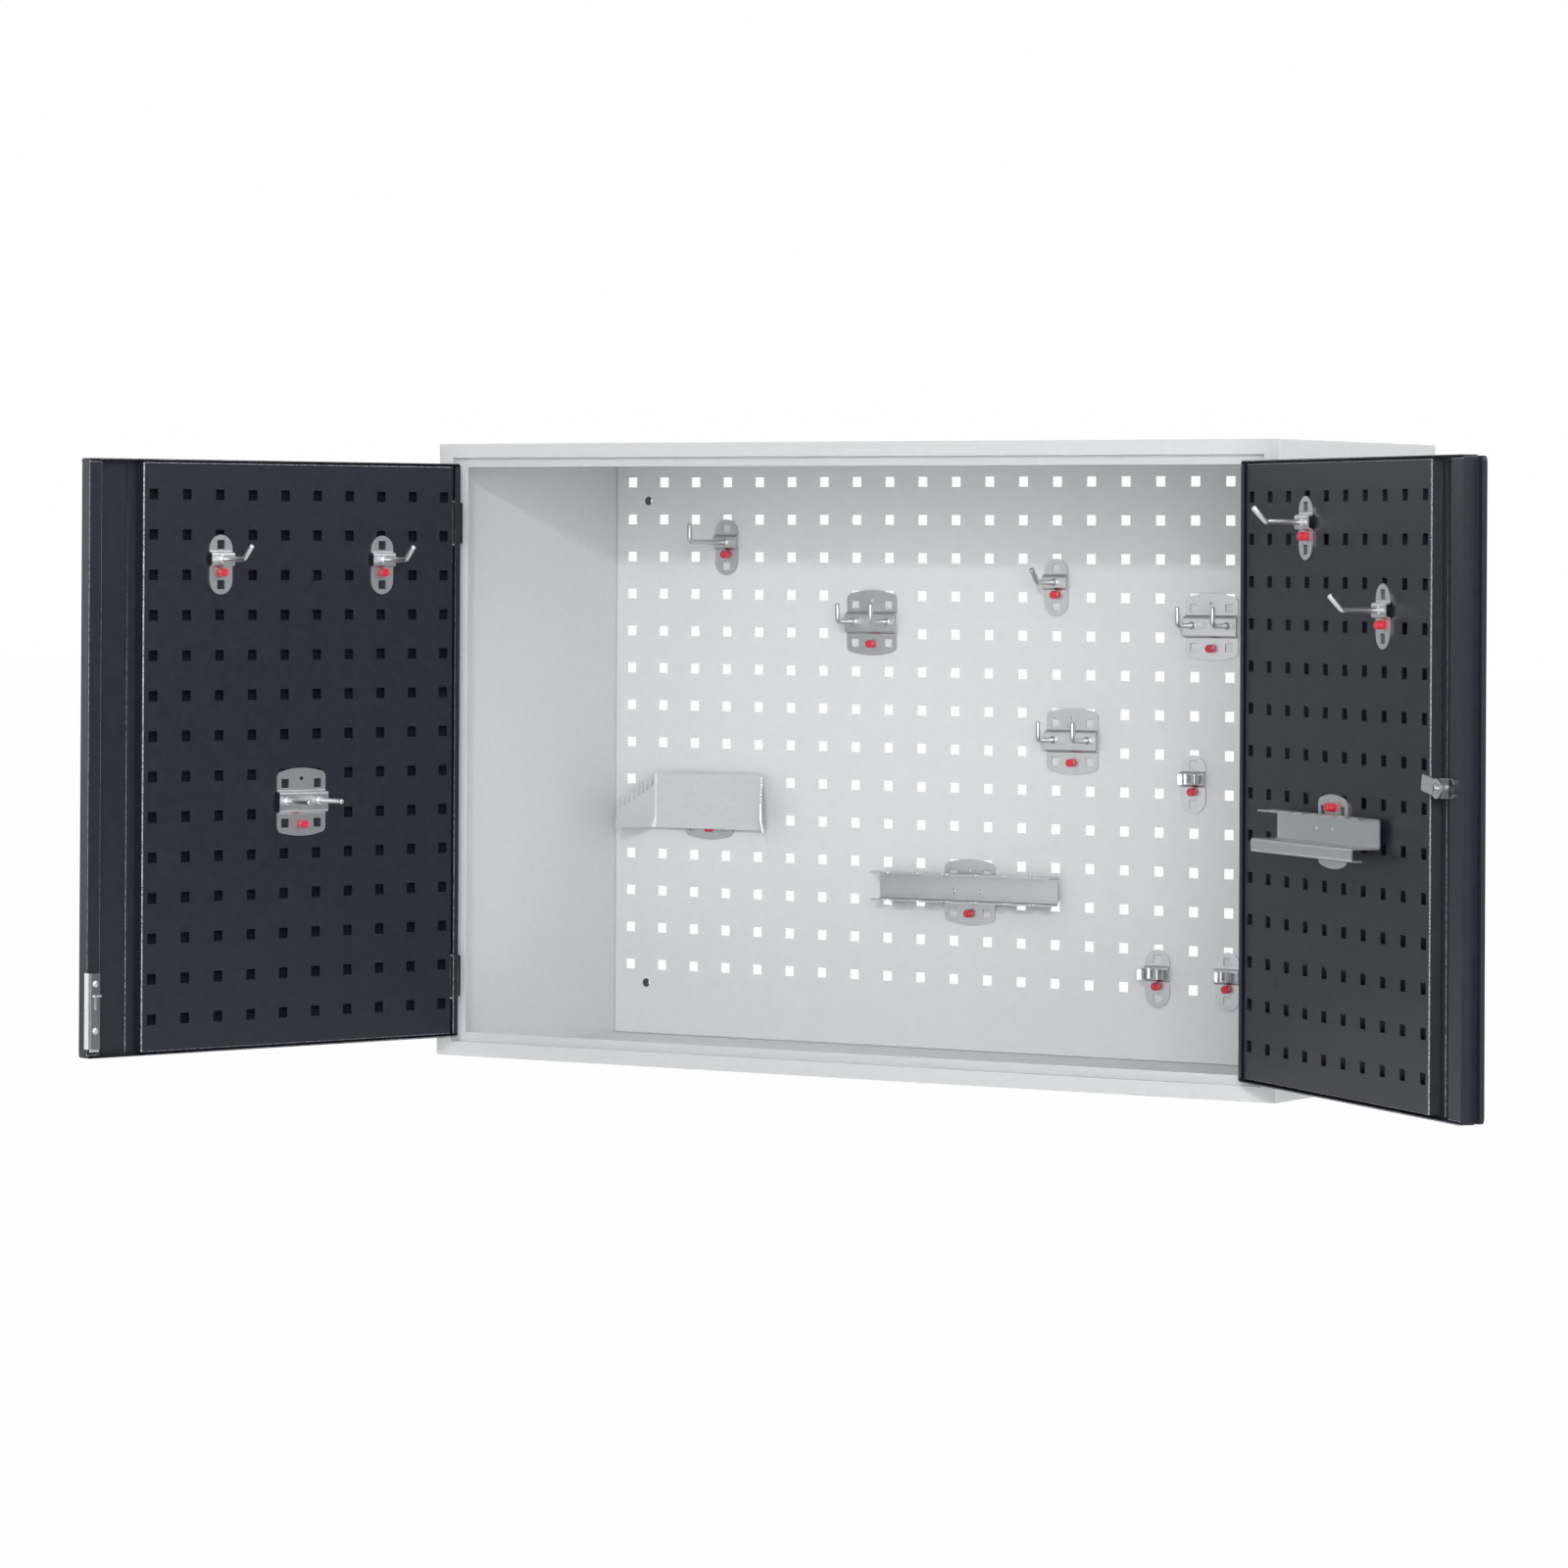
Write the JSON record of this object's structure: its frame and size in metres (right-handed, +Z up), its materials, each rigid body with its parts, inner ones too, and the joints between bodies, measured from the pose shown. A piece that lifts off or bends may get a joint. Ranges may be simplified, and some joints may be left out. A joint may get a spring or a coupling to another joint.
{
  "type": "tool cabinet with doors",
  "caption": "Wall-hung steel tool cabinet with perforated back and doors, plug-in hooks, clips, rails and a spanner holder, a cam lock and a slide bolt.",
  "frame": {"origin": "centre of the four wall fixing holes, in the wall plane behind the cabinet", "axes": "+Y into the wall, -Y towards the front, +Z up, +X to the right seen from the front"},
  "size_m": [1.3621, 0.7629, 0.6],
  "materials": {
    "body_paint": "light grey powder coat",
    "door_paint": "anthracite powder coat, half gloss",
    "zinc": "bright zinc plate",
    "spring_steel": "bright spring steel",
    "lock_chrome": "nickel-plated lock",
    "red_plastic": "moulded red plastic",
    "hinge_paint": "dark painted hinge",
    "spacer_plastic": "dark plastic bush"
  },
  "bodies": {
    "cabinet": {"cabinet_shell": "body_paint", "back_panel": "body_paint", "wall_spacers": "spacer_plastic", "hinge_frame_leaves": "hinge_paint", "hinge_pins": "zinc", "long_hook": "zinc", "tilted_hook": "zinc", "double_hooks": "zinc", "clip_plates": "zinc", "clip_rivets": "zinc", "large_spring_clip": "spring_steel", "medium_spring_clip": "spring_steel", "small_spring_clip": "spring_steel", "spanner_plate": "zinc", "spanner_rack": "zinc", "back_rail_plate": "zinc", "back_rail": "zinc", "back_locking_pins": "red_plastic"},
    "left_door": {"left_door_skin": "door_paint", "left_door_panel": "door_paint", "left_hinge_door_leaves": "hinge_paint", "left_bolt_bracket": "zinc", "left_bolt_rivets": "zinc", "left_door_hooks": "zinc", "left_door_twin_rods": "zinc", "left_door_locking_pins": "red_plastic"},
    "right_door": {"right_door_skin": "door_paint", "right_door_panel": "door_paint", "right_door_strip": "door_paint", "right_hinge_door_leaves": "hinge_paint", "right_lock_housing": "lock_chrome", "right_lock_plate": "zinc", "right_door_hooks": "zinc", "right_rail_plate": "zinc", "right_rail": "zinc", "right_door_locking_pins": "red_plastic"},
    "cam": {"lock_plug": "lock_chrome", "lock_cam": "zinc", "lock_cam_screw": "zinc"},
    "bolt": {"sliding_bolt": "zinc"}
  },
  "joints": [
    {"name": "left_door_hinge", "type": "hinge", "parent": "cabinet", "child": "left_door", "pos_m": [-0.4365, -0.343, 0], "axis": [0, 0, 1], "range_deg": [-61.4, 108.6]},
    {"name": "right_door_hinge", "type": "hinge", "parent": "cabinet", "child": "right_door", "pos_m": [0.4365, -0.343, 0], "axis": [0, 0, 1], "range_deg": [-141.7, 28.3]},
    {"name": "cam_turn", "type": "hinge", "parent": "right_door", "child": "cam", "pos_m": [0.75316, -0.59308, 0], "axis": [0.6198, 0.7848, 0], "range_deg": [-10, 170]},
    {"name": "bolt_slide", "type": "slide", "parent": "left_door", "child": "bolt", "axis": [0, 0, -1], "range_m": [0, 0.012]}
  ]
}
